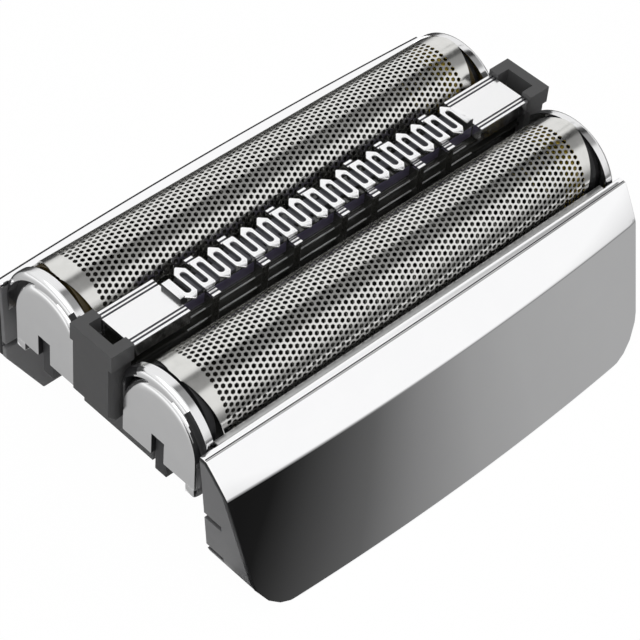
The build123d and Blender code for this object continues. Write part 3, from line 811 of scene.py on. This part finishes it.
def rounded_sections(start, end, depth, small, steps=6):
    """Sections of a body along X, whose edge near its end rounds down to a smaller outline."""
    hand = 1 if end > start else -1
    sections = [(start, 1.0)]
    for number in range(steps + 1):
        angle = pi / 2 * number / steps
        sections.append((end - hand * depth * (1 - sin(angle)), small + (1 - small) * cos(angle)))
    return sections


# %% Ring of a cap
def cap_ring(hand, side):
    """A shallow ring with a crescent sunk into its face on either side of the plate."""
    centre = side * ring_centre
    ring = arch_solid(centre, ring_axis, ring_arc, ring_low,
                      rounded_sections(hand * ring_start, hand * ring_end, ring_round, ring_small))
    sliced(ring, (0, side * clear_of_wall, 0), (0, side, 0))
    sliced(ring, (0, side * clear_of_bracket, 0), (0, -side, 0))
    cutters = []
    for way, limit in ((1, clear_of_wall), (-1, clear_of_bracket)):
        groove = arch_solid(centre, crescent_axis, crescent_arc, 13.0,
                            [(hand * crescent_floor, 1), (hand * (ring_end + 1), 1)], segments=56)
        sliced(groove, (0, centre + side * way * crescent_start, 0), (0, -side * way, 0))
        sliced(groove, (0, side * (limit - way * crescent_rim), 0), (0, side * way, 0))
        cutters.append(groove)
    for groove in cutters:
        cut_out(ring, groove)
    return ring


# %% Plate of a cap, with its slot and its hooked foot
def slot_box(hand, side):
    """The space that the foil frame's leg needs."""
    return box((hand * 25, side * slot_middle - slot_half, plate_low - 1),
               (hand * 28, side * slot_middle + slot_half, plate_low + slot_rise))


def cap_plate(hand, side):
    """The plate with its slot; the foot is the same outline drawn lower and cut to its corner."""
    offset, axis, arc = plate_shapes[side]
    centre, foot_inner = side * offset, side * (offset + arc - foot_reach)
    sections = rounded_sections(hand * plate_back, hand * plate_face, plate_rim, plate_small, 10)
    plate = arch_solid(centre, axis, arc, plate_low, sections, about=plate_scaled_from)
    cut_out(plate, slot_box(hand, side))
    foot = arch_solid(centre, axis, arc, plate_low - foot_drop, sections, about=plate_scaled_from)
    sliced(foot, (0, 0, plate_low + 0.02), (0, 0, 1))
    sliced(foot, (0, foot_inner, 0), (0, -side, 0))
    for piece in (plate, foot):
        rounded(piece, 0.06, 50)
    return joined([plate, foot])


# %% Dark neck between ring, plate and foil, standing in partly for the shade in the gaps
def cap_neck(hand, side):
    """A floor for the crescents, a post behind the plate and a core inside the end of the foil."""
    floor_disc = arch_solid(side * ring_centre, crescent_axis, crescent_arc - 0.02, floor_low,
                            [(hand * floor_start, 1), (hand * (floor_start + floor_thickness), 1)])
    offset, axis, arc = plate_shapes[side]
    post = arch_solid(side * offset, axis, arc - 0.35, plate_low + 0.1,
                      [(hand * floor_start, 1), (hand * post_end, 1)])
    cut_out(post, slot_box(hand, side))
    sliced(floor_disc, (0, side * (clear_of_wall - 0.25), 0), (0, side, 0))
    sliced(floor_disc, (0, side * (clear_of_bracket + 0.25), 0), (0, -side, 0))
    core = arch_solid(side * abs(foil_offset), core_axis, core_arc, floor_low,
                      [(hand * core_start, 1), (hand * (ring_start + 0.02), 1)])
    return joined([floor_disc, core, post])


# %% Where a cap gets painted shade, and all four caps
plate_reach = 5.2
outer_shade_top, inner_shade_top = 18.7, 16.2
bright_inner, bright_outer = -3.2, {-1: 3.2, 1: 4.9}
shaded_rim = 0.31


def shaded(place, facing, hand, side):
    """True for cap faces given painted shade, as they turn from the light into the gaps beside the
    ring.
    """
    out, away = side * facing.y, abs(place.y) - mm(cap_offset)
    if hypot(away, place.z - mm(ring_axis)) < mm(plate_reach):
        return ((out > 0.58 and place.z < mm(outer_shade_top))
                or (out < -0.85 and place.z < mm(inner_shade_top)))
    in_crescent = (hand * facing.x > 0.3 and place.z > mm(ring_low - 0.05)
                   and not mm(bright_inner) < away < mm(bright_outer[side]))
    # The rounded end of each right-hand ring gets painted shade as well, a dark line along its edge.
    return in_crescent or (place.x > mm(ring_end - shaded_rim) and 0.1 < facing.x < 0.95)


for side_name, side in both_sides:
    for end, hand in both_ends:
        body = f"{side_name}_foil_unit"
        shapes = joined([cap_ring(hand, side), cap_plate(hand, side)])
        cap = finish_piece(shapes, f"{side_name}_cap_{end}_dressed", body, cap_metal,
                           [f"{side_name}_cap_{end}"])
        applied(cap, "WEIGHTED_NORMAL", keep_sharp=True)
        # Painted shade on the faces that the test above picks.
        painted(cap, dark_moulding_and_shade, lambda place, facing: shaded(place, facing, hand, side))
        # The neck is dark plastic that also stands in for the shade in the gaps round the plate.
        finish_piece(cap_neck(hand, side), f"{side_name}_cap_{end}_neck", body, dark_moulding_and_shade)
        print(cap.name, len(cap.data.polygons), "faces")

# %% [markdown]
# The trimmer. Its bright guard is one bent and slotted strip: two end plates with stepped edges,
# and a raised comb between them whose slots open to either side in turn. The comb could be bent
# from a strip, but its tips and slots have to keep their pitch, so it is a flat bar to which
# pointed tips are joined and from which a Boolean cuts slots with rounded ends.

# %% End plates with stepped edges, with painted shade on their groove floors
guard_half = 2.52
plate_height = 20.3
plate_start, plate_end, plate_bottom = 18.5, 25.0, 18.8
groove_depth = 0.15
plate_grooves = ((2.26, 2.04), (1.86, 1.64))
tab_grooves = ((2.26, 2.04), (1.86, 1.69))


def stepped(piece, lines):
    """Pushes strips of the top face down, between pairs of distances from the centre line."""
    edit(piece)
    for pair in lines:
        for line in pair:
            for side in (-1, 1):
                pick_all()
                bpy.ops.mesh.bisect(plane_co=mm(0, side * line, 0), plane_no=(0, 1, 0))
    pick(piece, "FACE", lambda place, facing: (facing.z > 0.9 and place.z > mm(plate_height - 0.02)
         and any(mm(inner) < abs(place.y) < mm(outer) for outer, inner in lines)))
    push(0, 0, -groove_depth)
    leave()


def shaded_groove_floor(place, facing):
    """True for the floor of a groove, which gets painted shade."""
    return facing.z > 0.9 and abs(place.z - mm(plate_height - groove_depth)) < mm(0.02)


for end, hand in both_ends:
    end_plate = box((hand * plate_start, -guard_half, plate_bottom),
                    (hand * plate_end, guard_half, plate_height))
    stepped(end_plate, plate_grooves)
    finish_piece(end_plate, f"guard_plate_{end}", "trimmer", trimmer_steel,
                 ["trimmer_guard"] if hand < 0 else [])
    # Painted shade on the groove floors.
    painted(end_plate, comb_blade_and_groove_shade, shaded_groove_floor)
print("end plates:", len(end_plate.data.polygons), "faces each")

# %% Comb: bar, tips and slots
comb_half, comb_top, comb_bottom = 18.0, 20.8, 20.56
tip_pitch, first_tip, tip_count = 1.983, 17.35, 18
shoulder, reach, tab_reach = 1.27, 1.97, 1.69
sharp_tip, tab_tip = 0.16, 1.2
slot_width, closed_end = 0.66, 1.14
tab_tips = (2, 5, 7, 10, 12, 15, 17)


def comb_tip(x, side, blunt, out):
    """A block beyond the bar's edge whose outer face is drawn in to a given width."""
    half = (tip_pitch - 0.5) / 2
    tip = box((x - half, side * shoulder, comb_bottom), (x + half, side * out, comb_top))
    edit(tip)
    pick(tip, "FACE", lambda place, facing: side * facing.y > 0.9)
    resized((blunt / (2 * half), 1, 1), (x, side * out, comb_top))
    leave()
    return tip


def slot_cutter(x, side):
    """A cylinder whose far half is moved away, which gives a slot with a rounded end."""
    start = side * (closed_end - slot_width / 2)
    bpy.ops.mesh.primitive_cylinder_add(vertices=16, radius=mm(slot_width / 2), depth=mm(1),
                                        location=mm(x, start, comb_top))
    cutter = bpy.context.object
    place_applied(cutter)
    edit(cutter)
    pick(cutter, "VERT", lambda place, facing: side * (place.y - mm(start)) < -mm(0.001))
    bpy.ops.transform.translate(value=mm(0, -side * (closed_end + reach), 0))
    leave()
    return cutter


bar = box((-comb_half, -shoulder, comb_bottom), (comb_half, shoulder, comb_top))
tips, cutters, tab_places = [], [], []
for side in (-1, 1):
    for number in range(tip_count):
        x = side * (first_tip - number * tip_pitch)
        tabbed = number + 1 in tab_tips
        blunt, out = (tab_tip, tab_reach) if tabbed else (sharp_tip, reach)
        tips.append(comb_tip(x, side, blunt, out))
        cutters.append(slot_cutter(x, side))
        if tabbed:
            tab_places.append((x, side))
tips = joined(tips)
applied(bar, "BOOLEAN", operation="UNION", solver="EXACT", object=tips)
bpy.data.objects.remove(tips)
cut_out(bar, joined(cutters))
rounded(bar, 0.045)
finish_piece(bar, "guard_comb", "trimmer", trimmer_steel, smooth=40)
print("comb:", len(bar.data.polygons), "faces")

# %% Steps at the comb's ends and the tabs under its blunt tips
step_start, step_end, step_bottom = 17.72, 18.6, 19.95
tab_half, tab_inner = 0.46, 1.42
for end, hand in both_ends:
    step = box((hand * step_start, -shoulder, step_bottom),
               (hand * step_end, shoulder, comb_top - 0.01), bevel=0.06)
    finish_piece(step, f"guard_step_{end}", "trimmer", trimmer_steel)
    # Painted shade: the step's sides and underside get the dark finish, for the shadow in the notch
    # beside the comb.
    painted(step, dark_moulding_and_shade, lambda place, facing: facing.z < 0.5)
for number, (x, side) in enumerate(tab_places):
    tab = box((x - tab_half, side * tab_inner, step_bottom),
              (x + tab_half, side * guard_half, plate_height))
    stepped(tab, tab_grooves)
    wall = box((x - tab_half, side * (tab_inner - 0.02), step_bottom),
               (x + tab_half, side * (tab_reach - 0.02), comb_bottom + 0.05))
    tab = joined([tab, wall])
    finish_piece(tab, f"guard_tab_{number + 1}", "trimmer", trimmer_steel)
    # Painted shade on the tab's groove floors.
    painted(tab, comb_blade_and_groove_shade, shaded_groove_floor)
print("tabs:", len(tab_places))

# %% Violet-grey band of the support, just under the comb
band_half, band_side = 18.4, 1.38
window_half, window_side = 1.75, 0.95
band = box((-band_half, -band_side, 18.70), (band_half, band_side, 19.93), bevel=0.05)
cut_out(band, box((-window_half, -window_side, 18.0), (window_half, window_side, 20.5)))
finish_piece(band, "support_band", "trimmer", violet_moulding)

# %% Painted highlights along the edges of the support's two ledges, which catch the light
for level, out, half in ((18.15, 1.66, 17.6), (17.15, 1.96, 18.2)):
    for side in (-1, 1):
        edge = box((-half, side * (out - 0.12), level - 0.09),
                   (half, side * out, level + 0.02), bevel=0.02)
        name = f"ledge_edge_{round(10 * level)}_{'front' if side < 0 else 'rear'}"
        finish_piece(edge, name, "trimmer", ledge_highlight)

# %% [markdown]
# Floor, backdrop and light. The floor is pale and keeps the object's shadow; the world is white to
# the camera. Bright metal looks like what stands round it, so this is as much a part of the finish
# as the materials: graded cards lie round the object and grey ones hang above it, as they do round
# small metal goods in a studio. Only reflections see the cards.

# %% Floor
floor_shown = 0.985
floor_material, floor_tree = new_material("pale_floor")
floor_links, floor_surface = floor_tree.links, floor_tree.nodes["Principled BSDF"]
set_inputs(floor_surface, {"Base Color": (0.93, 0.93, 0.93, 1), "Roughness": 0.9,
                           "Specular IOR Level": 0})
white = add_node(floor_tree, "Emission", {"Strength": 1.0})
paths = add_node(floor_tree, "LightPath")
either = add_node(floor_tree, "Math", {1: floor_shown}, operation="MULTIPLY_ADD")
floor_links.new(paths.outputs["Is Camera Ray"], either.inputs[0])
floor_links.new(paths.outputs["Is Glossy Ray"], either.inputs[2])
blend = add_node(floor_tree, "MixShader")
for number, source in enumerate((either, floor_surface, white)):
    floor_links.new(source.outputs[0], blend.inputs[number])
floor_links.new(blend.outputs[0], floor_tree.nodes["Material Output"].inputs["Surface"])
bpy.ops.mesh.primitive_plane_add(size=4)
floor = bpy.context.object
floor.name = "floor"
floor.data.materials.append(floor_material)


# %% Cards that only show in reflections, shaded along one direction
def graded_card(name, low, high, height, direction, start, tones):
    """A level card between two corners whose brightness follows a direction across it.
    Tones are (distance along the direction in millimetres from start, brightness)."""
    material, tree = new_material(name)
    nodes, links = tree.nodes, tree.links
    nodes.remove(nodes["Principled BSDF"])
    place = add_node(tree, "TexCoord")
    along_card = add_node(tree, "VectorMath", {1: [1000 * value for value in direction]},
                          operation="DOT_PRODUCT")
    first, last = tones[0][0], tones[-1][0]
    span = add_node(tree, "MapRange", {"From Min": first - start, "From Max": last - start})
    ramp = add_node(tree, "ValToRGB")
    stops = ramp.color_ramp.elements
    for number, (distance, tone) in enumerate(tones):
        share = (distance - first) / (last - first)
        inside = 0 < number < len(tones) - 1
        stop = stops.new(share) if inside else stops[-1 if number else 0]
        stop.position = share
        stop.color = (tone, tone, tone, 1)
    glow = add_node(tree, "Emission")
    links.new(place.outputs["Object"], along_card.inputs[0])
    links.new(along_card.outputs["Value"], span.inputs["Value"])
    links.new(span.outputs["Result"], ramp.inputs["Fac"])
    links.new(ramp.outputs["Color"], glow.inputs["Color"])
    links.new(glow.outputs["Emission"], nodes["Material Output"].inputs["Surface"])
    middle = [(a + b) / 2 for a, b in zip(low, high)]
    bpy.ops.mesh.primitive_plane_add(size=1, location=mm(*middle, height))
    card = bpy.context.object
    card.scale = (*mm(high[0] - low[0], high[1] - low[1]), 1)
    place_applied(card)
    card.name = name
    card.data.materials.append(material)
    for ray in ("camera", "diffuse", "shadow", "transmission", "volume_scatter"):
        setattr(card, f"visible_{ray}", False)


along_x, along_y, aslant = (1, 0, 0), (0, 1, 0), (1, 0.89, 0)
near_floor, on_floor = 0.2, 0.15
graded_card("front_card", (-900, -50), (900, -15), near_floor, aslant, 17,
            [(-35, 0.009), (-31, 0.011), (-27.5, 0.029), (-22, 0.065), (-16, 0.111), (-9, 0.216),
             (0, 0.322), (8, 0.372), (22, 0.40)])
graded_card("far_front_card", (-900, -1500), (900, -50), near_floor, along_y, 0,
            [(-1500, 0.9), (-160, 0.5), (-50, 0.22)])
graded_card("left_card", (-900, -1500), (-28.5, 1500), on_floor, along_x, 0,
            [(-160, 1.25), (-95, 1.1), (-58, 0.62), (-28, 0.44)])
graded_card("rear_card", (-28.5, 22), (1500, 1500), on_floor, along_y, 0,
            [(22, 0.03), (120, 0.08), (600, 0.2)])
graded_card("right_card", (28.5, -15), (1500, 22), on_floor, along_x, 0, [(28, 0.04), (200, 0.08)])
graded_card("left_light", (-700, -400), (-150, 300), 300, along_x, 0, [(-700, 2.2), (-150, 2.2)])
graded_card("overhead_card", (60, -460), (1100, 210), 600, along_y, 0,
            [(-450, 1.0), (-390, 0.9), (-310, 0.36), (-20, 0.33), (25, 0.22), (100, 0.22),
             (150, 0.9), (200, 1.0)])
graded_card("overhead_strip", (450, -30), (1100, 165), 598, along_y, 0,
            [(-30, 0.25), (5, 0.01), (125, 0.01), (165, 0.3)])
graded_card("lip_card", (250, 328), (700, 358), 597, along_x, 0,
            [(330, 1.0), (430, 0.9), (500, 0.5), (560, 0.25)])

# %% World and lamps
world = bpy.context.scene.world or bpy.data.worlds.new("studio")
bpy.context.scene.world = world
world.use_nodes = True
sky, sky_links = world.node_tree, world.node_tree.links
soft = sky.nodes["Background"]
set_inputs(soft, {"Color": (1, 1, 1, 1), "Strength": 0.5})
shown = add_node(sky, "Background")
direction, rise = add_node(sky, "TexCoord"), add_node(sky, "SeparateXYZ")
horizon = add_node(sky, "MapRange", {"From Min": 0.0, "From Max": 0.2, "To Min": 0.7, "To Max": 1.0})
rays = add_node(sky, "LightPath").outputs
plain = add_node(sky, "Math", operation="MAXIMUM")
seen, seen_more = [add_node(sky, "Math", operation="ADD", use_clamp=True) for _ in range(2)]
sky_blend = add_node(sky, "MixShader")
for source, target in (
        (direction.outputs["Object"], rise.inputs[0]),
        (rise.outputs["Z"], horizon.inputs["Value"]),
        (horizon.outputs["Result"], plain.inputs[0]),
        (rays["Is Camera Ray"], plain.inputs[1]),
        (plain.outputs[0], shown.inputs["Color"]),
        (rays["Is Camera Ray"], seen.inputs[0]),
        (rays["Is Glossy Ray"], seen.inputs[1]),
        (seen.outputs[0], seen_more.inputs[0]),
        (rays["Is Transmission Ray"], seen_more.inputs[1]),
        (seen_more.outputs[0], sky_blend.inputs[0]),
        (soft.outputs[0], sky_blend.inputs[1]),
        (shown.outputs[0], sky_blend.inputs[2]),
        (sky_blend.outputs[0], sky.nodes["World Output"].inputs["Surface"])):
    sky_links.new(source, target)


def lamp(name, place, size, power):
    """A soft square lamp that looks at the middle of the object."""
    bpy.ops.object.light_add(type="AREA", location=mm(*place))
    light = bpy.context.object
    light.name = name
    light.data.size = mm(size)
    light.data.energy = power
    light.rotation_euler = (-light.location).to_track_quat("-Z", "Y").to_euler()
    light.visible_glossy = False


lamp("key", (-120, -60, 380), 260, 0.8)
lamp("fill", (300, -260, 200), 300, 0.2)
